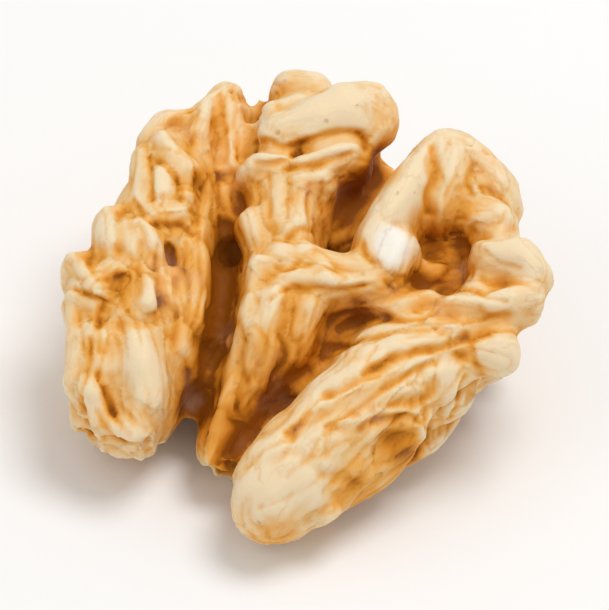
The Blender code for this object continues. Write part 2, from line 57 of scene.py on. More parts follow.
# The masses of the kernel. Each is a line of stations:
# right, up, height of the crest, half width and half height there
coreMasses = (
    # The left lobe, with its rim and the wall along the groove
    ((-4.9, 12.2, -0.6, 2.0, 3.4), (-6.8, 9.2, 0.1, 2.8, 4.6), (-8.9, 5.2, 0.4, 3.4, 5.0),
     (-9.8, 1.8, 0.3, 3.9, 5.4), (-10.2, -1.2, -0.3, 3.7, 5.0), (-10.4, -3.4, -1.3, 3.0, 4.0)),
    ((-8.5, 9.4, -0.3, 1.2, 3.2), (-10.4, 5.4, 0.0, 1.7, 3.6), (-12.0, 2.0, -0.4, 1.6, 3.6),
     (-12.4, -1.4, -1.2, 1.5, 3.6), (-11.9, -4.6, -2.2, 1.2, 3.0)),
    ((-5.4, 10.6, -0.5, 1.4, 3.2), (-6.1, 7.4, -0.5, 1.5, 3.4), (-6.5, 4.2, -0.4, 1.6, 3.8),
     (-6.8, 1.0, -0.7, 1.5, 3.8), (-7.2, -2.0, -1.2, 1.4, 3.4)),
    ((-8.6, 8.8, 0.5, 1.3, 2.6), (-8.2, 6.9, 0.6, 1.4, 2.6), (-7.0, 6.6, 0.4, 1.2, 2.6)),
    ((-11.0, 2.4, 0.3, 1.3, 2.6), (-9.6, 1.6, 0.35, 1.4, 2.6), (-8.4, 1.1, 0.25, 1.2, 2.6)),
    ((-9.6, 3.9, 0.5, 1.1, 2.2), (-9.6, 2.2, 0.4, 1.1, 2.2), (-9.3, 0.2, 0.3, 1.1, 2.2)),
    # The right lobe
    ((-1.9, -9.6, -1.9, 2.4, 3.0), (-0.4, -7.3, -0.9, 3.0, 4.0), (2.3, -4.6, -0.2, 3.4, 4.8),
     (5.2, -2.2, 0.0, 3.5, 5.0), (8.2, -0.9, 0.0, 2.9, 4.4), (10.4, 0.8, -0.2, 2.6, 4.2)),
    ((0.4, -8.6, -2.8, 2.2, 3.2), (3.0, -6.9, -2.4, 2.3, 3.4), (5.4, -5.0, -2.0, 2.2, 3.4)),
    # The column between the lobes, its right flank and its foot
    ((0.6, 12.2, 0.4, 2.4, 4.4), (-0.2, 9.4, 0.8, 2.9, 5.4), (-0.6, 6.4, 0.3, 2.5, 5.4),
     (-0.8, 3.4, 0.0, 2.4, 5.0), (-0.9, 1.6, -0.1, 2.4, 4.6)),
    ((0.4, 11.8, 0.6, 2.2, 4.6), (3.0, 11.4, 0.4, 1.9, 4.2)),
    ((2.6, 9.9, 0.1, 1.2, 2.6), (1.4, 8.0, -0.2, 1.2, 2.8), (0.6, 5.8, -0.2, 1.1, 2.8)),
    ((-0.6, 2.0, 0.0, 1.9, 3.4), (1.6, 1.9, 0.1, 1.6, 3.4), (3.6, 1.9, 0.1, 1.4, 3.2),
     (4.8, 2.4, 0.2, 1.2, 3.0)),
    # What joins them on the outer side
    ((-5.8, 3.8, -4.4, 3.4, 4.0), (0.2, 3.4, -4.0, 4.8, 4.4), (6.4, 1.6, -3.8, 4.2, 4.2)),
    # The body of the root tip and the floors of the grooves on either side of it
    ((-1.4, 0.6, -0.3, 1.9, 3.2), (-2.2, -1.6, -1.4, 1.8, 3.0), (-3.2, -3.6, -2.7, 1.6, 2.6),
     (-4.3, -5.6, -4.0, 1.5, 2.0), (-4.9, -7.1, -4.7, 1.3, 1.8), (-5.2, -8.1, -5.2, 1.1, 1.5)),
    ((4.2, 1.3, -1.7, 1.6, 3.2), (2.3, -0.6, -2.2, 1.7, 3.4), (0.7, -2.4, -3.2, 1.8, 3.2),
     (-1.2, -4.7, -4.6, 1.8, 3.0), (-2.8, -6.5, -5.4, 1.8, 2.4), (-3.7, -7.6, -5.8, 1.4, 2.0)),
    ((-3.3, 11.4, -1.6, 1.2, 3.0), (-3.5, 10.0, -1.8, 1.3, 3.0), (-4.0, 8.0, -2.2, 1.5, 3.0),
     (-4.3, 5.8, -2.7, 1.7, 3.2), (-4.6, 3.6, -3.2, 1.7, 3.4), (-5.0, 0.4, -4.5, 1.6, 3.0),
     (-5.6, -2.4, -5.9, 1.2, 2.4)),
    # The floor of the notch between the column and the loop
    ((1.4, 4.6, -2.6, 1.8, 3.0), (3.2, 6.4, -3.2, 2.0, 3.2), (4.4, 8.0, -3.9, 1.7, 3.0)),
    # The floor of the loop at the far end of the right lobe, and its arch
    ((7.0, 5.4, -1.8, 2.8, 3.8), (9.3, 4.3, -1.8, 3.1, 4.4), (10.2, 1.8, -2.0, 3.2, 4.4)),
    ((5.4, 1.5, -1.7, 1.3, 3.0), (7.6, 2.2, -1.7, 1.4, 3.0)),
    ((4.6, 0.2, -0.8, 1.0, 2.6), (5.9, 0.4, -0.6, 1.0, 2.6), (7.4, 0.9, -0.5, 1.0, 2.6)),
    ((5.2, 6.0, 0.9, 1.8, 3.4), (7.0, 7.6, 1.2, 2.0, 3.6), (8.8, 8.0, 1.0, 1.9, 3.6),
     (10.6, 6.8, 0.5, 1.7, 3.2), (11.2, 5.4, 0.2, 1.4, 3.0)),
)

rollMasses = (
    # The loop
    ((4.4, 1.9, 0.0, 1.0, 2.2), (3.9, 3.6, 0.7, 1.3, 2.6), (4.7, 5.4, 1.4, 1.7, 3.0),
     (5.7, 7.3, 1.8, 1.8, 3.2), (6.9, 8.8, 1.9, 1.7, 3.2), (8.2, 9.8, 1.7, 1.6, 3.2),
     (9.5, 9.6, 1.5, 1.5, 3.0), (10.5, 8.7, 1.2, 1.5, 2.8), (11.2, 7.6, 0.9, 1.3, 2.6)),
    ((7.9, 6.2, 0.7, 0.9, 2.4), (8.4, 7.4, 1.3, 1.1, 2.6), (8.8, 8.8, 1.6, 1.3, 2.6)),
    ((11.9, 7.7, 0.2, 0.9, 2.2), (12.0, 6.9, 0.1, 1.0, 2.2)),
    ((9.9, 5.6, 0.3, 0.9, 2.2), (11.2, 5.7, 0.9, 1.2, 2.4)),
    ((10.2, 4.6, 0.0, 0.8, 2.2), (11.6, 4.7, 0.3, 0.9, 2.4)),
    ((5.0, 3.0, 0.7, 1.2, 2.4), (5.6, 4.2, 1.1, 1.3, 2.6)),
    # The knobs where the loop comes down to the right lobe
    ((10.8, 3.6, 0.9, 1.5, 2.8), (12.1, 3.6, 1.2, 1.6, 2.8), (13.1, 2.7, 0.8, 1.4, 2.6)),
    ((8.4, 0.5, -0.1, 0.9, 2.4), (9.8, 0.5, 0.3, 1.0, 2.4), (11.4, 0.8, 0.5, 1.1, 2.4),
     (12.9, 1.0, 0.3, 1.1, 2.4)),
    ((10.0, -1.9, -0.7, 1.2, 2.2), (11.2, -1.7, -0.8, 1.5, 2.0)),
    ((8.4, -4.2, -1.9, 0.9, 2.2), (8.0, -5.0, -2.8, 0.9, 2.2)),
    # The pale rolls at the broad end of the column
    ((-1.3, 10.8, 1.7, 1.6, 1.9), (-0.4, 11.1, 2.0, 1.6, 1.9), (1.2, 11.7, 2.4, 1.7, 1.9),
     (3.1, 12.4, 2.3, 1.8, 2.0), (4.0, 12.0, 1.9, 1.5, 1.6), (4.2, 11.2, 1.5, 1.2, 1.4),
     (3.8, 10.5, 1.1, 1.0, 1.3)),
    ((-1.7, 10.2, 1.3, 1.3, 1.7), (0.4, 10.7, 1.8, 1.2, 1.8), (2.6, 11.3, 1.9, 1.4, 1.8),
     (3.6, 10.9, 1.4, 1.2, 1.6)),
    ((-0.9, 13.5, 1.1, 1.3, 2.2), (0.5, 13.5, 1.4, 1.3, 2.4)),
    ((-1.6, 11.7, 1.5, 1.2, 1.7), (-0.3, 12.2, 1.7, 1.1, 1.7)),
    ((-3.0, 8.3, 0.7, 1.0, 2.2), (-2.0, 8.8, 1.2, 1.2, 2.2), (-1.0, 8.9, 1.3, 1.1, 2.2)),
    ((-0.2, 8.3, 1.2, 0.9, 2.0), (1.0, 9.0, 1.5, 1.1, 2.2), (2.3, 9.5, 1.4, 1.1, 2.2),
     (3.1, 9.3, 1.0, 0.9, 2.0)),
    ((-0.1, 7.5, 1.0, 0.9, 2.0), (0.9, 7.7, 1.0, 1.0, 2.0)),
    ((-3.1, 5.3, 0.2, 1.0, 2.0), (-2.8, 4.2, 0.1, 0.9, 2.0)),
    ((-1.2, 7.6, 0.65, 1.9, 2.6), (-1.0, 5.0, 0.35, 1.9, 2.6)),
    ((-2.7, 7.7, 0.0, 1.0, 2.4), (-2.5, 6.2, -0.2, 1.0, 2.4)),
    ((-1.6, 7.0, 0.6, 0.9, 1.8), (-1.6, 5.2, 0.35, 0.9, 1.8)),
    ((-0.3, 6.6, 0.65, 0.9, 1.8), (-0.3, 4.8, 0.35, 0.9, 1.8)),
    ((-1.5, 3.4, 0.2, 1.2, 2.2), (0.2, 3.2, 0.4, 1.2, 2.2), (1.8, 2.7, 0.4, 1.1, 2.2),
     (3.4, 2.3, 0.3, 1.0, 2.0)),
    ((-1.2, 1.9, 0.2, 1.0, 2.0), (0.6, 1.7, 0.4, 1.0, 2.0), (2.4, 1.5, 0.3, 0.9, 2.0),
     (4.2, 1.7, 0.2, 0.9, 2.0)),
    # The folds along the root tip
    ((-3.0, 0.6, -0.2, 0.9, 1.8), (-3.5, -1.8, -1.4, 0.9, 1.8), (-4.2, -4.0, -2.6, 0.8, 1.6),
     (-4.9, -6.2, -3.9, 0.7, 1.4), (-5.4, -8.0, -4.9, 0.7, 1.3)),
    ((-1.7, 0.8, 0.3, 1.0, 1.8), (-2.2, -1.2, -0.5, 1.2, 1.8), (-3.0, -3.2, -1.9, 1.0, 1.8),
     (-3.8, -5.2, -3.4, 0.8, 1.6)),
    ((0.2, 0.4, -0.2, 1.0, 1.8), (-0.5, -1.6, -1.3, 1.0, 1.8), (-1.5, -3.4, -2.7, 0.9, 1.7)),
    # The knobs and ovals of the left lobe
    ((-4.7, 12.8, -0.6, 1.3, 2.4), (-5.6, 11.8, 0.3, 1.3, 2.4), (-6.2, 10.5, 0.5, 1.1, 2.2)),
    ((-4.0, 12.0, -0.3, 0.9, 2.2), (-4.2, 10.2, -0.4, 0.9, 2.2), (-4.4, 8.6, -0.5, 0.8, 2.0)),
    ((-9.2, 10.2, -0.1, 0.9, 2.2), (-8.2, 11.2, 0.1, 1.0, 2.2), (-6.9, 11.4, 0.1, 0.9, 2.2)),
    ((-8.1, 9.9, 0.8, 1.1, 2.2), (-7.4, 9.0, 1.0, 1.0, 2.2), (-6.8, 8.2, 0.8, 0.9, 2.0)),
    ((-9.5, 9.2, 0.1, 0.8, 2.4), (-9.6, 7.6, 0.4, 0.8, 2.4), (-9.4, 6.2, 0.6, 0.8, 2.2),
     (-8.4, 5.6, 0.8, 0.7, 2.2), (-7.1, 5.7, 0.6, 0.7, 2.2)),
    ((-8.3, 7.8, 1.1, 1.15, 2.2), (-8.3, 6.9, 1.1, 1.15, 2.2)),
    ((-11.4, 5.6, 0.2, 1.0, 2.4), (-11.3, 4.0, 0.7, 1.1, 2.4)),
    ((-10.2, 5.0, 0.7, 0.7, 2.0), (-10.2, 3.4, 0.8, 0.8, 2.0)),
    ((-9.3, 5.1, 0.9, 0.6, 1.8), (-8.9, 4.0, 0.9, 0.7, 1.8), (-8.6, 3.2, 0.6, 0.5, 1.6)),
    ((-13.3, 3.0, -0.2, 0.9, 2.4), (-12.7, 2.3, 0.3, 0.9, 2.2)),
    ((-12.3, 1.3, 0.2, 0.7, 2.0), (-11.2, 2.2, 0.6, 0.7, 2.0)),
    ((-9.0, 1.5, 0.75, 0.7, 1.8), (-9.0, 0.5, 0.7, 0.7, 1.8)),
    ((-7.8, 1.8, 0.1, 0.5, 1.8), (-7.7, 0.6, 0.0, 0.5, 1.8)),
    ((-13.3, 1.2, -0.4, 0.9, 2.4), (-12.0, 0.8, 0.1, 0.8, 2.2)),
    ((-13.4, 0.0, -1.0, 1.0, 2.4), (-13.4, -2.0, -1.4, 1.0, 2.4), (-13.2, -4.0, -2.0, 0.9, 2.4),
     (-12.8, -5.6, -3.0, 0.9, 2.2)),
    ((-9.6, -0.9, -0.1, 1.4, 2.4), (-9.3, -2.6, -0.1, 1.6, 2.6), (-9.3, -4.4, -0.9, 1.6, 2.6)),
    ((-11.3, -1.7, -0.3, 0.9, 2.2), (-11.2, -3.4, -0.8, 0.9, 2.2)),
    ((-12.1, -4.6, -1.4, 1.0, 2.4), (-11.8, -6.0, -2.2, 1.0, 2.2)),
    ((-9.8, -5.8, -1.8, 1.1, 2.2), (-9.3, -6.6, -2.4, 1.0, 2.0)),
    ((-4.6, 7.2, -1.0, 0.7, 2.0), (-4.5, 5.9, -1.2, 0.7, 2.0)),
    ((-6.0, 4.6, -0.4, 0.7, 2.4), (-5.9, 2.0, -0.7, 0.7, 2.6), (-6.1, -0.6, -1.1, 0.7, 2.6)),
)

# The root tip is a three-sided wedge, the hull of these places
rootTip = (
    (-2.9, 3.0, 0.2), (0.8, 2.4, 0.0), (-3.2, 0.5, -0.7), (-3.8, -1.6, -1.7), (-4.5, -3.9, -2.9),
    (-5.2, -6.6, -4.2), (-5.9, -9.2, -5.4), (-6.3, -9.6, -6.4), (-4.6, -10.1, -6.4), (2.8, 0.9, -2.2),
    (1.2, -1.4, -3.4), (-0.6, -4.0, -4.8), (-2.8, -6.9, -6.0), (-5.4, 1.6, -5.6), (-5.9, -2.4, -6.4),
    (-6.2, -6.2, -6.8), (-3.0, -4.0, -9.0), (-1.0, 2.0, -9.0),
)

# Creases are pressed in where lines of sight meet the skin. Each has a style,
# its half width and depth in mm, and its places, to the right and up
crease = {
    "step": 0.12,          # mm between the lines of sight
    "sightStart": 60.0,    # mm, how far towards the viewer they start
}
broad = (0.80, 0.36)
narrow = (0.66, 0.20)
pit = (0.44, 0.7)
drawnIn = (1.8, 0.8)
tucked = (1.3, 0.5)
shaved = (1.3, 0.45)
broadCreases = (
    # Between the long folds of the right lobe
    (narrow, ((3.0, -1.1), (4.4, -0.7), (6.0, -0.9), (7.5, -0.9), (9.0, -0.6))),
    (narrow, ((1.8, -2.7), (3.4, -2.0), (5.0, -1.6), (6.6, -1.6), (8.4, -1.6))),
    (broad, ((1.2, -5.0), (3.6, -3.9), (5.0, -3.2), (6.5, -2.7), (8.0, -2.4), (9.2, -1.9),
             (10.4, -1.5))),
    (broad, ((-0.9, -7.4), (0.8, -6.3), (2.6, -5.6), (4.7, -4.5), (6.4, -3.8), (7.5, -3.2),
             (9.2, -2.9))),
    (narrow, ((3.0, -6.2), (4.6, -5.5), (6.5, -5.6), (7.3, -5.1), (7.4, -4.4))),
    (narrow, ((1.3, -7.0), (3.0, -7.2), (4.2, -6.7), (6.4, -6.6), (7.2, -6.0))),
    (broad, ((0.3, -12.3), (1.6, -11.0), (2.6, -10.0), (4.0, -9.0), (4.8, -7.8), (6.2, -7.4))),
    (narrow, ((-1.8, -8.8), (-0.4, -8.4), (1.0, -9.6), (2.4, -9.8))),
    # Under the pale rolls and round the knobs
    (broad, ((7.8, -0.5), (9.0, -0.4), (10.3, -0.8), (11.6, -0.7))),
    (broad, ((9.8, 4.1), (11.0, 4.1), (12.4, 4.3))),
    (broad, ((-2.9, 9.4), (-2.0, 9.2), (-0.7, 9.1), (0.5, 9.3), (1.8, 9.7), (3.3, 9.7),
             (3.6, 8.8))),
    (narrow, ((-2.6, 7.8), (-1.2, 8.2), (0.0, 7.9), (1.2, 8.5), (2.4, 8.6))),
    (narrow, ((7.5, 9.2), (7.3, 8.0), (7.6, 7.2), (7.2, 6.4), (7.5, 5.4))),
    # The pockets and slits of the left lobe
    (pit, ((-7.75, 3.4), (-7.65, 2.5))),
    (narrow, ((-12.3, -1.6), (-12.5, -3.4), (-12.9, -5.2))),
    (broad, ((-11.4, 2.0), (-10.6, 1.6))),
    (narrow, ((-6.2, 7.6), (-5.9, 6.2), (-6.4, 5.0))),
    (narrow, ((-11.2, -2.4), (-11.3, -4.4), (-10.8, -6.2), (-9.5, -7.2))),
    (narrow, ((-8.2, 1.4), (-8.2, -0.4), (-9.2, -1.0), (-10.6, -1.2))),
    (narrow, ((-12.8, 0.6), (-11.6, -0.2), (-12.0, -1.6))),
    (broad, ((-5.0, 12.2), (-5.1, 10.6), (-4.9, 8.6))),
    # Where the outlines of the lobes draw in
    (drawnIn, ((10.6, -5.2), (9.8, -6.0), (9.2, -6.9))),
    (tucked, ((-13.3, -7.2), (-12.7, -7.6))),
    (shaved, ((-9.6, -8.8), (-8.9, -8.2))),
)

# Narrow gaps of the rough shape that are filled, in the same way but raised
full = (1.8, 0.9)
slight = (1.8, 0.35)
small = (1.2, 0.4)
filledGaps = (
    (full, ((1.4, -11.6), (1.9, -10.8), (2.4, -10.0), (3.0, -9.6))),
    (full, ((-12.4, -2.0), (-12.6, -4.4))),
    (slight, ((6.6, -6.9), (7.2, -7.8))),
    (small, ((-10.8, -7.1), (-9.9, -7.4))),
)

thin = (0.38, 0.14)
faint = (0.34, 0.08)
fineCreases = (
    # The right lobe, from its upper edge down
    (thin, ((2.0, -1.4), (3.0, -0.9), (4.2, -0.7), (5.6, -0.85), (6.8, -0.7), (7.6, -0.4))),
    (thin, ((1.4, -2.5), (2.4, -2.3), (3.2, -2.0), (4.2, -1.8), (5.2, -1.55), (6.2, -1.4), (7.5, -1.3))),
    (thin, ((3.4, -4.0), (4.3, -3.5), (5.3, -3.0), (6.2, -2.75), (7.4, -2.6), (8.4, -2.3), (9.4, -1.8))),
    (faint, ((1.2, -5.1), (2.3, -4.8), (3.2, -4.3), (4.2, -4.1))),
    (thin, ((2.2, -6.4), (3.0, -5.9), (3.8, -5.4), (4.6, -4.8), (5.6, -4.2), (6.4, -3.7), (7.4, -3.3))),
    (faint, ((4.4, -5.8), (5.4, -5.7), (6.4, -5.6), (7.1, -5.2), (7.0, -4.6), (6.0, -4.5))),
    (thin, ((1.3, -6.9), (2.2, -6.4), (3.0, -6.2))),
    (thin, ((3.2, -7.1), (3.8, -6.7), (4.8, -6.5), (6.0, -6.4), (6.8, -6.8))),
    (faint, ((1.3, -8.6), (1.3, -7.7), (1.8, -7.0))),
    (thin, ((-1.0, -7.3), (-0.3, -6.9), (0.3, -6.2))),
    (faint, ((-0.9, -9.6), (0.0, -9.0), (0.8, -8.2))),
    (faint, ((-3.4, -9.4), (-2.4, -8.4), (-1.2, -7.8))),
    (faint, ((-2.6, -11.6), (-1.4, -11.2), (0.2, -10.4), (1.0, -9.7))),
    (thin, ((9.3, -4.2), (8.9, -5.0), (8.9, -5.8), (8.5, -6.6))),
    (thin, ((7.0, -5.9), (7.1, -7.1), (7.3, -8.0))),
    (faint, ((7.8, -5.6), (7.9, -6.6), (7.9, -7.4))),
    (faint, ((9.6, -2.4), (9.9, -3.4), (10.4, -4.3))),
    # The knobs at the far end of the right lobe
    (thin, ((8.8, 0.9), (9.8, 0.9), (10.6, 0.5), (11.6, 0.2))),
    (faint, ((10.2, 1.5), (11.0, 1.2), (12.5, 1.3), (13.5, 0.8))),
    (faint, ((10.4, 3.1), (11.4, 2.4), (12.4, 2.2))),
    # The loop
    (thin, ((7.4, 9.2), (7.6, 8.3), (7.5, 7.4), (7.1, 6.4), (7.2, 5.4))),
    (faint, ((9.1, 8.9), (8.8, 7.7), (8.2, 6.4))),
    (faint, ((9.9, 8.3), (9.5, 7.2), (9.8, 6.4))),
    (thin, ((10.2, 6.9), (11.0, 6.6), (11.8, 5.9), (12.2, 5.1))),
    (faint, ((4.3, 6.2), (4.6, 5.0), (5.6, 4.6))),
    (thin, ((3.4, 3.6), (3.6, 2.7), (4.4, 2.4))),
    # The column
    (thin, ((-2.9, 9.6), (-2.2, 9.6), (-1.4, 9.3), (-0.6, 9.3), (0.3, 9.6), (1.2, 9.9), (2.4, 10.1),
            (3.3, 9.9), (3.6, 9.1))),
    (thin, ((-2.8, 8.3), (-1.7, 8.3), (-0.9, 8.6), (-0.3, 9.0))),
    (thin, ((-1.1, 7.9), (-0.2, 8.1), (0.8, 8.2), (1.9, 8.6), (2.9, 8.9))),
    (faint, ((-1.7, 12.4), (-1.5, 11.6), (-0.4, 11.9), (1.2, 12.6))),
    (faint, ((-2.1, 7.6), (-2.0, 6.4), (-2.1, 5.2))),
    (faint, ((-0.9, 7.4), (-1.0, 6.0), (-0.9, 4.8))),
    (faint, ((0.3, 6.9), (0.2, 5.6), (0.3, 4.7))),
    (faint, ((1.1, 7.2), (1.0, 6.2), (1.1, 5.4))),
    (thin, ((-1.0, 3.8), (-0.3, 4.4), (0.6, 4.3))),
    (thin, ((-1.6, 2.2), (-0.8, 2.1), (0.0, 2.8), (0.6, 3.1))),
    (thin, ((-2.0, 0.4), (-1.0, 1.0), (0.0, 0.9), (1.2, 1.0), (2.2, 0.9), (3.4, 1.1))),
    (faint, ((0.6, 1.8), (1.4, 2.0), (2.3, 1.5))),
    # The root tip
    (faint, ((-2.8, -1.2), (-2.2, -2.2), (-2.6, -3.4))),
    (faint, ((-1.4, -1.8), (-1.1, -2.9), (-1.9, -4.0))),
    (faint, ((0.0, -0.6), (-0.2, -1.9), (-0.4, -2.8))),
    (faint, ((-3.4, -2.0), (-3.6, -3.4), (-3.2, -4.8), (-3.9, -6.0))),
    # The left lobe
    (thin, ((-9.1, 8.7), (-8.7, 8.4), (-8.1, 8.1), (-7.6, 7.6), (-7.3, 7.0), (-7.2, 6.2))),
    (thin, ((-8.9, 8.6), (-8.95, 7.4), (-8.9, 6.2))),
    (thin, ((-10.0, 6.1), (-9.6, 5.5), (-9.0, 4.9), (-8.2, 4.6), (-7.2, 4.6), (-6.6, 4.1))),
    (faint, ((-4.9, 12.4), (-4.8, 11.2), (-4.6, 10.0), (-4.5, 9.0))),
    (faint, ((-4.2, 12.6), (-4.0, 11.4), (-4.2, 10.2), (-4.0, 9.2))),
    (faint, ((-6.9, 11.7), (-6.6, 11.0), (-6.9, 10.2), (-6.6, 9.5))),
    (thin, ((-5.0, 7.7), (-5.0, 6.6), (-4.7, 5.6))),
    (faint, ((-9.6, 4.8), (-9.4, 4.0), (-9.5, 3.0), (-9.6, 2.0), (-9.5, 0.6))),
    (thin, ((-8.5, 3.4), (-8.6, 2.4), (-8.4, 1.0), (-8.3, 0.0))),
    (thin, ((-12.5, 3.3), (-12.4, 2.3), (-12.0, 1.6), (-11.4, 1.5))),
    (faint, ((-10.8, 5.4), (-10.7, 4.2), (-10.8, 3.2))),
    (thin, ((-13.4, 1.0), (-12.4, 0.5), (-11.7, 0.2), (-11.9, -0.6), (-11.8, -1.6), (-11.8, -2.6))),
    (thin, ((-12.5, -1.8), (-12.4, -3.0), (-12.6, -4.0), (-12.9, -5.0), (-12.8, -6.2))),
    (thin, ((-11.9, -3.9), (-11.6, -4.6), (-11.2, -5.6), (-10.8, -6.6), (-10.0, -7.4))),
    (faint, ((-10.7, -5.1), (-10.5, -5.9), (-9.9, -6.5), (-9.1, -7.2))),
    (faint, ((-11.9, -6.1), (-11.4, -7.0), (-10.7, -7.7), (-9.8, -8.0))),
    (faint, ((-10.9, -1.7), (-10.6, -2.8), (-10.7, -4.0))),
    (faint, ((-6.9, 3.6), (-6.9, 2.0), (-6.7, 0.4), (-6.9, -1.0))),
    (faint, ((-6.2, 4.2), (-6.1, 2.6), (-5.9, 1.0), (-6.2, -0.6))),
    (faint, ((-7.4, 1.6), (-7.5, 0.4), (-7.4, -1.0), (-7.7, -2.4))),
)

# Low folds that stand up from the skin, in the same way
low = (1.0, 0.24)
fineFolds = (
    (low, ((-3.1, -1.2), (-3.3, -3.4))),
    (low, ((-1.8, -2.4), (-2.6, -4.6))),
    (low, ((-10.8, -7.1), (-9.9, -7.4))),
    (low, ((0.9, 2.2), (1.6, 1.6), (2.6, 1.4))),
    (low, ((-1.3, 3.0), (-0.3, 2.6), (0.2, 3.4))),
)

# How golden or how pale the skin is painted, mostly painted shade in the grooves, notch, pockets and under
# the right lobe, and painted light on the crests: to the right, up, the radius and the change of tone
shadeLightAndToneSpots = (
    # The root tip
    (-2.0, -2.6, 2.8, 0.28), (-3.8, -4.6, 2.0, 0.20), (-4.8, -7.2, 2.6, 0.36), (-0.6, -0.4, 1.8, 0.14),
    # The groove on its left, from the broad end down: paler at the broad end, then painted shade down the
    # groove
    (-3.2, 10.8, 1.5, -0.36), (-4.8, 9.4, 1.7, -0.20), (-4.6, 7.4, 1.5, -0.16), (-4.3, 5.6, 1.3, 0.14),
    (-4.3, 4.0, 1.4, 0.34), (-4.3, 2.4, 1.4, 0.38), (-4.5, 0.8, 1.4, 0.40), (-4.9, -1.0, 1.4, 0.38),
    (-5.4, -2.8, 1.4, 0.32), (-6.3, -3.9, 1.3, 0.36), (-6.6, -5.6, 1.4, 0.32), (-5.3, -4.8, 1.2, 0.16),
    (-4.4, -9.2, 1.1, 0.26),
    # Painted shade in the groove on its right
    (4.8, 0.7, 1.2, 0.24), (3.2, -0.2, 1.2, 0.26), (1.9, -1.3, 1.3, 0.26), (0.7, -2.6, 1.3, 0.24),
    (-0.6, -4.0, 1.3, 0.22), (-1.9, -5.3, 1.3, 0.20), (-3.0, -6.7, 1.3, 0.18), (-3.9, -8.2, 1.1, 0.16),
    # Painted shade in the notch between the column and the loop
    (2.4, 5.6, 1.5, 0.34), (3.4, 7.0, 1.7, 0.44), (4.6, 8.0, 1.7, 0.55),
    # The golden places of the left lobe and of the column, painted shade on the inner wall and in the
    # pockets and hollows
    (-6.2, 2.0, 2.0, 0.26), (-6.4, -1.2, 1.8, 0.28), (-6.4, 4.6, 1.4, 0.18), (-6.1, 7.0, 1.6, 0.26),
    (-10.7, 1.3, 1.5, 0.30), (-9.6, 1.8, 0.9, 0.20), (-10.6, -0.2, 1.8, 0.22), (-7.7, 2.9, 0.8, 0.30),
    (-3.3, 6.6, 1.0, 0.16), (-8.0, 4.8, 1.2, 0.12), (-6.4, 9.4, 4.4, 0.06), (-12.2, -2.4, 1.2, 0.12),
    # Painted shade under the right lobe, in its hollow and in the valley of the loop
    (5.6, -7.9, 1.8, 0.46), (7.4, -7.6, 1.1, -0.16), (-1.6, -13.4, 2.0, 0.30), (3.2, -10.6, 2.4, 0.34),
    (5.8, -9.2, 2.0, 0.30), (8.6, 5.2, 1.7, 0.12), (8.4, 3.4, 1.9, 0.08), (10.8, -1.2, 1.0, 0.14),
    (6.4, 1.3, 1.3, 0.34), (7.9, 1.8, 1.3, 0.20), (9.0, 3.6, 1.2, 0.16), (7.2, 5.0, 1.0, 0.14),
    # Painted light on the pale crests
    (1.0, 11.2, 4.0, -0.18), (5.8, 7.2, 3.0, -0.22), (4.6, 5.2, 2.0, -0.18), (8.6, 8.8, 1.8, -0.16),
    (12.2, 2.9, 2.4, -0.26), (10.4, 0.0, 2.4, -0.14), (11.4, 5.6, 1.6, -0.12), (-9.4, -3.6, 2.4, -0.14),
    (-12.0, -5.2, 1.2, -0.12), (-1.8, -10.2, 3.4, -0.16), (11.3, -2.9, 1.7, -0.18),
    (-11.3, 4.3, 1.5, -0.18), (-8.2, 7.3, 1.2, -0.14), (-8.0, 9.7, 1.2, -0.12), (-5.4, 11.8, 1.2, -0.16),
    (4.4, -1.2, 2.4, -0.12), (6.8, -3.2, 2.2, -0.12), (1.6, -4.2, 2.2, -0.12), (-1.6, 9.0, 1.4, -0.12),
    (1.6, 9.2, 1.2, -0.10), (-2.0, -0.8, 1.4, -0.10), (0.6, -7.8, 1.6, -0.08),
)
# The bare white place where the skin is rubbed off, which fades out between the two heights
chip = {
    "across": 5.1,
    "up": 3.4,
    "radius": 1.8,
    "height": (-2.5, -1.0),
}

shape = {
    "noiseSeed": 1,
    "beadSpacing": 0.4,      # share of the half width
    "beadDetail": 3,
    "swellSize": 2.6,
    "swellShare": 0.16,
    "swaySize": 3.4,
    "sway": 0.25,
    "fuseSize": 0.17,        # voxel, mm
    "fuseRounds": 3,
    "fill": 0.40,            # mm, how wide the gaps are that close up between masses, on each side
    "triangles": 192000,
    "rumpleSize": 1.7,
    "rumple": 0.16,
}

# The folds of the outer side. Pairs are where an effect starts and where it is whole
outerFolds = {
    "size": 3.3,                  # mm, across a fold
    "stretch": 2.4,               # how much longer than wide
    "depth": 1.5,                 # mm
    "round": 0.55,                # share of a fold that falls away to its edge
    "warpSize": 5.5,
    "warp": 1.8,
    "rightLean": 0.35,
    "leftLean": -0.14,
    "rightLeanFrom": (-4.0, 6.0),
    "leftLeanFrom": (-4.0, -8.0),
    "middle": Vector((-1.5, 3.0, -3.0)),
    "height": (-1.4, -4.0),
    "outwards": (0.0, 0.25),
    "upwards": (0.6, 0.2),
    "viewed": (0.85, 0.2),
    "calmPlaces": ((-1.4, -12.6, -4.2), (-3.4, -6.6, -7.6)),   # the smooth ends: right, up, height
    "calmReach": (3.0, 5.4),
}


def fade(value, limits):
    share = min(max((value - limits[0]) / (limits[1] - limits[0]), 0), 1)
    return share * share * (3 - 2 * share)


def between(before, start, end, after, share):   # the smooth line through four stations
    squared = share * share
    cubed = squared * share
    weights = (
        -cubed + 2 * squared - share,
        3 * cubed - 5 * squared + 2,
        -3 * cubed + 4 * squared + share,
        cubed - squared,
    )
    return [sum(w * v for w, v in zip(weights, values)) / 2 for values in zip(before, start, end, after)]


def viewAxes():
    turn = Matrix.Rotation(math.radians(sight["turn"]), 3, "Z")
    rise = math.radians(sight["rise"])
    right = turn @ Vector((1, 0, 0))
    away = turn @ Vector((0, 1, 0))
    viewer = Vector((0, 0, math.sin(rise))) - away * math.cos(rise)
    return right, away, viewer


def seen(across, up, height):
    right, away, _ = viewAxes()
    rise = math.radians(sight["rise"])
    return right * across + away * (up - height * math.cos(rise)) / math.sin(rise) + Vector((0, 0, height))


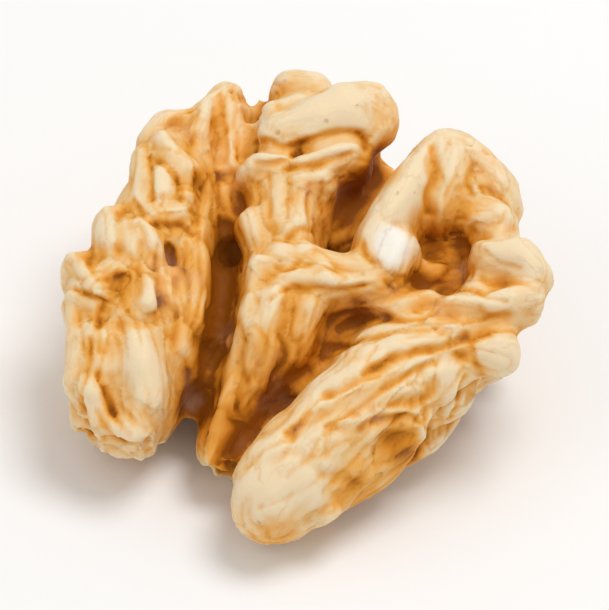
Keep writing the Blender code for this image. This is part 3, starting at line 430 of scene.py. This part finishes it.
def stationsAlong(stations, spacing):
    first = [2 * a - b for a, b in zip(stations[0], stations[1])]
    last = [2 * a - b for a, b in zip(stations[-1], stations[-2])]
    points = [first, *stations, last]
    for n in range(len(stations) - 1):
        length = (Vector(stations[n + 1][:3]) - Vector(stations[n][:3])).length
        steps = max(2, math.ceil(length / (spacing * stations[n][3])))
        for step in range(steps + (n == len(stations) - 2)):
            yield between(*points[n : n + 4], step / steps)


def massLine(stations):
    places = [(*seen(*station[:3]), *station[3:]) for station in stations]
    return list(stationsAlong(places, shape["beadSpacing"]))


def addMass(bm, stations):
    for x, y, crest, halfWidth, halfHeight in massLine(stations):
        centre = Vector((x, y, crest - halfHeight))
        centre += noise.noise_vector(centre / shape["swaySize"]) * shape["sway"]
        swell = 1 + shape["swellShare"] * noise.noise(centre / shape["swellSize"])
        size = Vector((halfWidth * swell, halfWidth * swell, halfHeight))
        place = Matrix.LocRotScale(centre, None, size)
        bmesh.ops.create_icosphere(bm, subdivisions=shape["beadDetail"], radius=1.0, matrix=place)


def addRootTip(bm):
    corners = [bm.verts.new(seen(*place)) for place in rootTip]
    hull = bmesh.ops.convex_hull(bm, input=corners)
    inside = [item for item in hull["geom_interior"] if isinstance(item, bmesh.types.BMVert)]
    bmesh.ops.delete(bm, geom=inside, context="VERTS")


def roughKernel():
    whole = bmesh.new()
    for stations in (*coreMasses, *rollMasses, None):
        bm = bmesh.new()             # each mass on its own, because a small bmesh is quick
        if stations:
            addMass(bm, stations)
        else:
            addRootTip(bm)
        mesh = bpy.data.meshes.new("mass")
        bm.to_mesh(mesh)
        bm.free()
        whole.from_mesh(mesh)
        bpy.data.meshes.remove(mesh)
    mesh = bpy.data.meshes.new("roughKernel")
    whole.to_mesh(mesh)
    whole.free()
    return mesh


def withModifiers(mesh, *modifiers):
    obj = bpy.data.objects.new("rough", mesh)
    bpy.context.scene.collection.objects.link(obj)
    for kind, settings in modifiers:
        modifier = obj.modifiers.new(kind.lower(), kind)
        for name, value in settings.items():
            setattr(modifier, name, value)
    graph = bpy.context.evaluated_depsgraph_get()
    made = bpy.data.meshes.new_from_object(obj.evaluated_get(graph))
    bpy.data.objects.remove(obj)
    bpy.data.meshes.remove(mesh)
    return made


def fused(mesh, rounds):
    return withModifiers(
        mesh,
        ("REMESH", {"mode": "VOXEL", "voxel_size": shape["fuseSize"]}),
        ("SMOOTH", {"factor": 0.5, "iterations": rounds}),
    )


def softened(mesh, depth):
    # swollen and shrunk again, so that narrow gaps and sharp valleys between the masses fill up
    moveAlongNormals(mesh, np.full(len(mesh.vertices), depth))
    mesh = fused(mesh, 1)
    moveAlongNormals(mesh, np.full(len(mesh.vertices), -depth))
    return fused(mesh, 2)


def outerFlow(point):
    # the outer side's own space, in which its folds are round cells
    warped = point + noise.noise_vector(point / outerFolds["warpSize"]) * outerFolds["warp"]
    lean = outerFolds["rightLean"] * fade(point.x, outerFolds["rightLeanFrom"])
    lean += outerFolds["leftLean"] * fade(point.x, outerFolds["leftLeanFrom"])
    return Vector((warped.x - lean * point.y, warped.y / outerFolds["stretch"], warped.z))


calmPlaces = [seen(*place) for place in outerFolds["calmPlaces"]]


def outerWeight(point, normal, viewer):
    outwards = normal.dot((point - outerFolds["middle"]).normalized())
    weight = fade(point.z, outerFolds["height"]) * fade(outwards, outerFolds["outwards"])
    weight *= fade(min((point - place).length for place in calmPlaces), outerFolds["calmReach"])
    return weight * fade(normal.z, outerFolds["upwards"]) * fade(normal.dot(viewer), outerFolds["viewed"])


def carveFolds(mesh):
    _, _, viewer = viewAxes()
    moves = []
    for vertex in mesh.vertices:
        weight = outerWeight(vertex.co, vertex.normal, viewer)
        depth = 0
        if weight:
            distances, _ = noise.voronoi(outerFlow(vertex.co) / outerFolds["size"])
            share = min(1, (distances[1] - distances[0]) / outerFolds["round"])
            depth = outerFolds["depth"] * weight * (1 - share) ** 2
        moves.append(vertex.normal * depth)
    for vertex, move in zip(mesh.vertices, moves):
        vertex.co -= move


def strokePoints(strokes, surface):
    # where each stroke's lines of sight meet the surface, with its half width and depth
    right, _, viewer = viewAxes()
    pictureUp = viewer.cross(right)
    for (halfWidth, depth), places in strokes:
        stations = [(*place, 0, crease["step"]) for place in places]
        for across, up, _, _ in stationsAlong(stations, 1):
            start = right * across + pictureUp * up + viewer * crease["sightStart"]
            hit, _, _, _ = surface.ray_cast(start, -viewer)
            if hit:
                yield hit, halfWidth, depth


def surfaceOf(mesh):
    bm = bmesh.new()
    bm.from_mesh(mesh)
    surface = bvhtree.BVHTree.FromBMesh(bm)
    bm.free()
    return surface


def strokeMap(mesh, strokes):
    # how deep the strokes press at each vertex; where strokes cross, the deeper one counts
    tree = kdtree.KDTree(len(mesh.vertices))
    for vertex in mesh.vertices:
        tree.insert(vertex.co, vertex.index)
    tree.balance()
    depths = np.zeros(len(mesh.vertices))
    for point, halfWidth, depth in strokePoints(strokes, surfaceOf(mesh)):
        for _, index, distance in tree.find_range(point, halfWidth):
            share = fade(distance, (halfWidth, 0))
            depths[index] = max(depths[index], depth * share)
    return depths


def placesOf(mesh):
    values = np.zeros(len(mesh.vertices) * 3)
    mesh.vertices.foreach_get("co", values)
    return values.reshape(-1, 3)


def normalsOf(mesh):
    values = np.zeros(len(mesh.vertices) * 3)
    mesh.vertex_normals.foreach_get("vector", values)
    return values.reshape(-1, 3)


def moveAlongNormals(mesh, distances):
    places = placesOf(mesh) + normalsOf(mesh) * distances[:, None]
    mesh.vertices.foreach_set("co", places.ravel())
    mesh.update()


wrinkle = {
    "along": 3.6,         # mm, how long a wrinkle is
    "across": 1.2,        # mm, how wide
    "band": 0.40,         # of the noise, how wide its groove is
    "depth": 0.10,        # mm
    "fineShare": 0.36,    # the second, finer set: its size and its depth against the first
    "foldTuck": 0.8,      # how far under its crest a fold's line runs, in half widths
    "outerFrom": 0.5,     # how much of a place must be outer side, to run along the folds there
    "shift": (7.3, 3.1),  # sets the wrinkles of each fold apart from the next one's
}

# Places whose skin is drawn tight: to the right, up, the radius and how much of the wrinkles goes
tightPlaces = (
    (1.5, 11.5, 3.6, 0.75), (-9.6, -3.6, 2.8, 0.5), (5.4, 6.6, 3.6, 0.9), (-1.4, -10.4, 3.2, 0.6),
    (12.2, 2.6, 2.6, 0.9), (-6.0, 2.0, 2.0, 0.4),
)


def foldLines():
    # a tree of places along all folds, with their directions and how far along they lie
    rows = []
    for number, stations in enumerate((*coreMasses, *rollMasses)):
        line = massLine(stations)
        points = [Vector((x, y, crest - wrinkle["foldTuck"] * half)) for x, y, crest, half, _ in line]
        reach = 0
        for n, point in enumerate(points):
            before = points[max(n - 1, 0)]
            after = points[min(n + 1, len(points) - 1)]
            reach += (point - before).length
            rows.append((point, (after - before).normalized(), reach, number))
    tree = kdtree.KDTree(len(rows))
    for index, row in enumerate(rows):
        tree.insert(row[0], index)
    tree.balance()
    return tree, rows


def flowOf(mesh):
    # each vertex in the space of its own fold, stretched so that a wrinkle there is a round cell
    tree, rows = foldLines()
    _, _, viewer = viewAxes()
    along = wrinkle["along"]
    across = wrinkle["across"]
    shiftX, shiftY = wrinkle["shift"]
    flow = np.zeros((len(mesh.vertices), 3))
    for vertex in mesh.vertices:
        if outerWeight(vertex.co, vertex.normal, viewer) > wrinkle["outerFrom"]:
            place = outerFlow(vertex.co)
            place.y *= outerFolds["stretch"] * across / along
            flow[vertex.index] = place / across
            continue
        _, index, _ = tree.find(vertex.co)
        point, direction, reach, number = rows[index]
        offset = vertex.co - point
        ahead = offset.dot(direction)
        sideways = offset - direction * ahead
        place = sideways / across + direction * (reach + ahead) / along
        flow[vertex.index] = place + Vector((number * shiftX, number * shiftY, 0))
    return flow


spotEdge = {
    "facing": -0.1,       # a place takes a spot's tone from here,
    "facingSpan": 0.25,   # wholly when it faces the viewer this much more
    "core": 1.35,         # above 1 a spot is whole round its middle
}


def spotShares(mesh, spots):
    # for each spot, how much each vertex that faces the viewer belongs to it
    right, _, viewer = (np.array(axis) for axis in viewAxes())
    places = placesOf(mesh)
    across = places @ right
    up = places @ np.cross(viewer, right)
    facing = np.clip((normalsOf(mesh) @ viewer - spotEdge["facing"]) / spotEdge["facingSpan"], 0, 1)
    for spotAcross, spotUp, radius, amount in spots:
        away = np.hypot(across - spotAcross, up - spotUp) / radius
        share = np.clip(spotEdge["core"] * (1 - away), 0, 1)
        yield facing * share * share * (3 - 2 * share), amount


def wrinkleDepths(mesh, flow):
    depths = np.zeros(len(mesh.vertices))
    looseness = np.ones(len(mesh.vertices))
    for share, amount in spotShares(mesh, tightPlaces):
        looseness *= 1 - share * amount
    for vertex, place, loose in zip(mesh.vertices, flow, looseness):
        first = max(0, 1 - abs(noise.noise(place)) / wrinkle["band"])
        second = max(0, 1 - abs(noise.noise(place / wrinkle["fineShare"])) / wrinkle["band"])
        depths[vertex.index] = loose * (first * first + wrinkle["fineShare"] * second * second)
    return depths * wrinkle["depth"]


# For the painted shade: how hidden places, small hollows and broad dips are found
hiding = {
    "reach": 5.0,          # mm, how near the surface opposite must be to hide a place
    "directions": 40,
    "lift": 0.06,          # mm
    "facing": 0.15,
    "leastWeight": 0.001,
    "evenRounds": 2,
    "hollowRounds": 3,     # how far round a place its surroundings reach, for small hollows
    "dipRounds": 40,       # and for broad ones
}


def faceFrame(mesh):
    # the inner face's frame in the world: the kernel's top and middle go where the solid's are
    turn = Matrix.Rotation(math.radians(sight["faceTilt"]), 4, "X")
    points = placesOf(mesh) @ np.array(turn.to_3x3()).T * mm
    low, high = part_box("kernel")
    middle = (low + high) / 2
    shift = middle - Vector((points.min(0) + points.max(0)) / 2)
    shift.z = high.z - points[:, 2].max()
    return Matrix.Translation(shift) @ turn @ Matrix.Scale(mm, 4)


def neighbourMean(values, edges, rounds):
    count = len(values)
    around = np.bincount(edges.ravel(), minlength=count)
    for _ in range(rounds):
        total = np.stack([
            np.bincount(edges[:, 0], column[edges[:, 1]], count)
            + np.bincount(edges[:, 1], column[edges[:, 0]], count)
            for column in values.T
        ], 1)
        values = (values + total / around[:, None]) / 2
    return values


def edgesOf(mesh):
    edges = np.zeros(len(mesh.edges) * 2, dtype=np.int64)
    mesh.edges.foreach_get("vertices", edges)
    return edges.reshape(-1, 2)


def hollowness(mesh, edges, rounds):
    # how far each vertex lies below the mean of its surroundings, in the mesh's own unit
    places = placesOf(mesh)
    return ((neighbourMean(places, edges, rounds) - places) * normalsOf(mesh)).sum(1)


def hiddenness(mesh, edges):
    # how much of the open side of each vertex is blocked close by
    surface = surfaceOf(mesh)
    places = placesOf(mesh)
    normals = normalsOf(mesh)
    blocked = np.zeros(len(places))
    weights = np.zeros(len(places))
    golden = math.pi * (3 - math.sqrt(5))
    for n in range(hiding["directions"]):
        height = 1 - 2 * (n + 0.5) / hiding["directions"]
        ring = math.sqrt(1 - height * height)
        direction = Vector((ring * math.cos(golden * n), ring * math.sin(golden * n), height))
        facing = normals @ np.array(direction)
        for index in np.nonzero(facing > hiding["facing"])[0]:
            start = Vector(places[index] + normals[index] * hiding["lift"])
            _, _, _, distance = surface.ray_cast(start, direction, hiding["reach"])
            weights[index] += facing[index]
            if distance is not None:
                blocked[index] += facing[index] * (1 - distance / hiding["reach"])
    share = blocked / np.maximum(weights, hiding["leastWeight"])
    return neighbourMean(share[:, None], edges, hiding["evenRounds"])[:, 0]


def keep(mesh, name, values):
    vector = values.ndim == 2
    attribute = mesh.attributes.new(name, "FLOAT_VECTOR" if vector else "FLOAT", "POINT")
    attribute.data.foreach_set("vector" if vector else "value", values.ravel())


def mainSurface():
    mesh = fused(roughKernel(), shape["fuseRounds"])
    mesh = softened(mesh, shape["fill"])
    carveFolds(mesh)
    moveAlongNormals(mesh, strokeMap(mesh, filledGaps) - strokeMap(mesh, broadCreases))
    mesh = fused(mesh, 1)
    mesh.calc_loop_triangles()
    ratio = min(1, shape["triangles"] / len(mesh.loop_triangles))
    return withModifiers(mesh, ("DECIMATE", {"ratio": ratio}))


def chipShare(mesh):
    spot = (chip["across"], chip["up"], chip["radius"], 1)
    share, _ = next(spotShares(mesh, (spot,)))
    return share * np.array([fade(vertex.co.z, chip["height"]) for vertex in mesh.vertices])


def buildKernel():
    print("kernel: fusing the masses")
    noise.seed_set(shape["noiseSeed"])
    mesh = mainSurface()
    print("kernel: fine creases and wrinkles on", len(mesh.polygons), "faces")
    fine = strokeMap(mesh, fineCreases)
    raised = strokeMap(mesh, fineFolds)
    flow = flowOf(mesh)
    wrinkled = wrinkleDepths(mesh, flow)
    rumpled = np.array([noise.noise(vertex.co / shape["rumpleSize"]) for vertex in mesh.vertices])
    moveAlongNormals(mesh, raised + rumpled * shape["rumple"] - fine - wrinkled)
    print("kernel: finding hollows and hidden places")
    edges = edgesOf(mesh)
    keep(mesh, "flow", flow)
    # Painted shade: line, hollow, dip and hidden darken the colour at creases, hollows and hidden places
    keep(mesh, "line", fine + wrinkled)
    # Painted shade and painted light from the spots, with some golden tone at the root tip
    keep(mesh, "region", sum(share * amount for share, amount in spotShares(mesh, shadeLightAndToneSpots)))
    keep(mesh, "bare", chipShare(mesh))
    keep(mesh, "hollow", hollowness(mesh, edges, hiding["hollowRounds"]))
    keep(mesh, "dip", hollowness(mesh, edges, hiding["dipRounds"]))
    keep(mesh, "hidden", hiddenness(mesh, edges))
    return mesh


class Signal:
    def __init__(self, tree, socket=None):
        self.tree = tree
        self.socket = socket

    def node(self, kind, settings=None, sockets=None, output=0):
        made = self.tree.nodes.new(kind)
        for name, value in (settings or {}).items():
            if name == "stops":
                while len(made.color_ramp.elements) < len(value):
                    made.color_ramp.elements.new(1)
                for element, (position, colour) in zip(made.color_ramp.elements, value):
                    element.position = position
                    element.color = (*colour, 1)
            else:
                setattr(made, name, value)
        for name, value in (sockets or {}).items():
            if isinstance(value, Signal):
                self.tree.links.new(value.socket, made.inputs[name])
            else:
                made.inputs[name].default_value = value
        return Signal(self.tree, made.outputs[output] if made.outputs else None)

    def maths(self, operation, first, second=0.0):
        return self.node("ShaderNodeMath", {"operation": operation}, {0: first, 1: second})

    def __add__(self, other):
        return self.maths("ADD", self, other)

    def __sub__(self, other):
        return self.maths("SUBTRACT", self, other)

    def __rsub__(self, other):
        return self.maths("SUBTRACT", other, self)

    def __mul__(self, other):
        return self.maths("MULTIPLY", self, other)

    def __pow__(self, other):
        return self.maths("POWER", self, other)

    __radd__ = __add__
    __rmul__ = __mul__


def clamped(signal):
    return signal.node("ShaderNodeClamp", sockets={"Value": signal})


def mixed(share, first, second):
    return share.node("ShaderNodeMix", {"data_type": "RGBA"}, {0: share, 6: first, 7: second}, output=2)


def stepped(signal, low, high):
    values = {"Value": signal, "From Min": low, "From Max": high}
    return signal.node("ShaderNodeMapRange", {"interpolation_type": "SMOOTHSTEP"}, values)


skin = {
    "stops": (                       # from the crests to the deepest grooves, the darker stops partly painted shade
        (0.00, (0.86, 0.70, 0.47)),
        (0.24, (0.84, 0.55, 0.25)),
        (0.46, (0.82, 0.40, 0.080)),
        (0.70, (0.68, 0.255, 0.018)),
        (0.88, (0.44, 0.145, 0.006)),
        (1.00, (0.28, 0.078, 0.002)),
    ),
    "toneStart": 0.20,
    # how strongly each attribute darkens the colour as painted shade; the spots also paint light
    "paintedShadeGains": {"hidden": 1.15, "dip": 1.0, "hollow": 1.2, "line": 1.3, "region": 1.0},
    "blotchScale": 260.0,            # on the kernel in metres
    "blotchTone": 0.3,
    "streakScale": 0.9,              # along the folds, in wrinkles
    "streakTone": 0.2,
    "grainScale": 2600.0,
    "veinScale": 0.7,
    "veinWidth": 0.022,
    "veinPlaces": (0.4, 0.6),        # of the blotches
    "veinShare": 0.14,
    "veinColour": (0.42, 0.17, 0.03, 1),
    "pitScale": 900.0,
    "pitSize": (0.08, 0.20),
    "pitPlaces": (0.52, 0.62),       # of the streaks
    "pitShare": 0.4,
    "pitColour": (0.34, 0.13, 0.02, 1),
    "bareColour": (0.93, 0.89, 0.81, 1),
    "bareFray": 1.2,                 # how much the blotches fray its edge
    "bareEdge": (0.05, 1.00),
    "bareShare": 0.95,
    "roughness": 0.48,
    "grainRoughness": 0.2,
    "grooveRoughness": 0.15,
    "heights": {"streak": 0.5, "grain": 0.25, "blotch": 0.2, "vein": 0.12, "pit": 0.5},
    "bumpStrength": 0.55,
    "bumpDistance": 0.12 * mm,
    "subsurface": 0.30,
    "subsurfaceRadius": (0.9, 0.5, 0.16),
    "subsurfaceScale": 1.2 * mm,
    "gloss": 0.16,
}


def skinMaterial():
    material = bpy.data.materials.new("walnutSkin")
    material.use_nodes = True
    tree = material.node_tree
    tree.nodes.clear()
    start = Signal(tree)

    def attribute(name, output="Fac"):
        return start.node("ShaderNodeAttribute", {"attribute_name": name}, output=output)

    def noiseOn(place, scale, detail):
        values = {"Vector": place, "Scale": scale, "Detail": detail, "Roughness": 0.55}
        return start.node("ShaderNodeTexNoise", sockets=values)

    where = start.node("ShaderNodeTexCoord", output="Object")
    flow = attribute("flow", "Vector")
    blotch = noiseOn(where, skin["blotchScale"], 3.0)
    streak = noiseOn(flow, skin["streakScale"], 2.0)
    grain = noiseOn(where, skin["grainScale"], 3.0)

    # Painted shade: the colour turns golden brown and darker in the hollows, grooves, crease lines and
    # hidden places, and the spots paint shade and light, over the skin's own blotches and streaks
    tone = skin["toneStart"] + (blotch - 0.5) * skin["blotchTone"] + (streak - 0.5) * skin["streakTone"]
    for name, gain in skin["paintedShadeGains"].items():
        tone = tone + attribute(name) * gain
    colour = start.node("ShaderNodeValToRGB", {"stops": skin["stops"]}, {"Fac": clamped(tone)})

    # Thin brown veins run along the folds, in patches
    ripple = noiseOn(flow, skin["veinScale"], 3.0)
    vein = 1 - stepped(((ripple - 0.5) ** 2) ** 0.5, 0.0, skin["veinWidth"])
    vein = vein * stepped(blotch, *skin["veinPlaces"])
    colour = mixed(vein * skin["veinShare"], colour, skin["veinColour"])

    # Small dark pits
    dot = start.node("ShaderNodeTexVoronoi", {"feature": "F1"}, {"Vector": where, "Scale": skin["pitScale"]})
    pit = (1 - stepped(dot, *skin["pitSize"])) * stepped(streak, *skin["pitPlaces"])
    colour = mixed(pit * skin["pitShare"], colour, skin["pitColour"])

    bare = stepped(attribute("bare") + (blotch - 0.5) * skin["bareFray"], *skin["bareEdge"])
    colour = mixed(bare * skin["bareShare"], colour, skin["bareColour"])

    roughness = skin["roughness"] + (grain - 0.5) * skin["grainRoughness"]
    roughness = clamped(roughness + clamped(tone) * skin["grooveRoughness"])
    heights = skin["heights"]
    height = streak * heights["streak"] + grain * heights["grain"] + blotch * heights["blotch"]
    height = height - vein * heights["vein"] - pit * heights["pit"]
    normal = start.node("ShaderNodeBump", sockets={
        "Strength": skin["bumpStrength"],
        "Distance": skin["bumpDistance"],
        "Height": height,
    })
    shader = start.node("ShaderNodeBsdfPrincipled", sockets={
        "Base Color": colour,
        "Roughness": roughness,
        "IOR": 1.45,
        "Specular IOR Level": skin["gloss"],
        "Subsurface Weight": skin["subsurface"],
        "Subsurface Radius": skin["subsurfaceRadius"],
        "Subsurface Scale": skin["subsurfaceScale"],
        "Normal": normal,
    })
    start.node("ShaderNodeOutputMaterial", sockets={"Surface": shader})
    return material


def addKernel():
    mesh = buildKernel()
    place = faceFrame(mesh)
    mesh.transform(place)
    points = placesOf(mesh)
    points[:, 2] = np.maximum(points[:, 2], 0)       # the small flat spots that it rests on
    mesh.vertices.foreach_set("co", points.ravel())
    mesh.update()
    mesh.shade_smooth()
    mesh.name = "walnutKernel"
    mesh.materials.append(skinMaterial())
    kernel = bpy.data.objects.new("walnutKernel", mesh)
    bpy.context.scene.collection.objects.link(kernel)
    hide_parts("kernel")
    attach(kernel, "root")
    return kernel, place


studio = {
    "floorSize": 3.0,
    "floorColour": (0.93, 0.93, 0.93, 1),
    "floorRoughness": 0.9,
    "floorGloss": 0.1,
    "floorGap": 0.02,         # mm under the kernel
    "world": (1.0, 0.985, 0.96, 1),
    "worldStrength": 0.60,
    "across": 35.2,           # mm of the inner face's frame over the picture's width
    "lens": 500.0,
    "sensor": 36.0,
    "nearest": 0.005,         # m, what the camera sees begins here
    "lamps": (                # name, direction in the picture (right, up, towards), distance, size, power
        ("keyLamp", (0.45, 1.0, 0.75), 0.30, 0.16, 0.43),
        ("fillLamp", (-0.9, 0.3, 0.9), 0.40, 0.30, 0.18),
    ),
}


def addFloor():
    bm = bmesh.new()
    bmesh.ops.create_circle(bm, cap_ends=True, segments=64, radius=studio["floorSize"])
    mesh = bpy.data.meshes.new("floor")
    bm.to_mesh(mesh)
    bm.free()
    material = bpy.data.materials.new("paleFloor")
    material.use_nodes = True
    shader = material.node_tree.nodes["Principled BSDF"]
    shader.inputs["Base Color"].default_value = studio["floorColour"]
    shader.inputs["Roughness"].default_value = studio["floorRoughness"]
    shader.inputs["Specular IOR Level"].default_value = studio["floorGloss"]
    mesh.materials.append(material)
    floor = bpy.data.objects.new("floor", mesh)
    floor.location.z = -studio["floorGap"] * mm
    bpy.context.scene.collection.objects.link(floor)


def pictureAxes(place):
    right, _, viewer = viewAxes()
    turn = place.to_3x3() * (1 / mm)
    right = (turn @ right).normalized()
    viewer = (turn @ viewer).normalized()
    return right, viewer.cross(right), viewer


def addLamps(place):
    axes = pictureAxes(place)
    target = place.translation
    for name, direction, distance, size, power in studio["lamps"]:
        lamp = bpy.data.lights.new(name, "AREA")
        lamp.shape = "DISK"
        lamp.size = size
        lamp.energy = power
        obj = bpy.data.objects.new(name, lamp)
        towards = sum((axis * share for axis, share in zip(axes, direction)), Vector()).normalized()
        obj.location = target + towards * distance
        obj.rotation_euler = towards.to_track_quat("Z", "Y").to_euler()
        bpy.context.scene.collection.objects.link(obj)
    world = bpy.data.worlds.new("paleRoom")
    world.use_nodes = True
    background = world.node_tree.nodes["Background"]
    background.inputs["Color"].default_value = studio["world"]
    background.inputs["Strength"].default_value = studio["worldStrength"]
    bpy.context.scene.world = world


def addCamera(place):
    right, up, viewer = pictureAxes(place)
    camera = bpy.data.cameras.new("camera")
    camera.lens = studio["lens"]
    camera.sensor_width = studio["sensor"]
    camera.clip_start = studio["nearest"]
    obj = bpy.data.objects.new("camera", camera)
    distance = studio["across"] * mm * studio["lens"] / studio["sensor"]
    turn = Matrix((right, up, viewer)).transposed().to_4x4()
    obj.matrix_world = Matrix.Translation(place.translation + viewer * distance) @ turn
    bpy.context.scene.collection.objects.link(obj)
    bpy.context.scene.camera = obj


print("walnut kernel: building the fine surface")
kernel, facePlace = addKernel()
print("walnut kernel: floor, light and camera")
addFloor()
addLamps(facePlace)
addCamera(facePlace)
bpy.context.scene.view_settings.view_transform = "Standard"
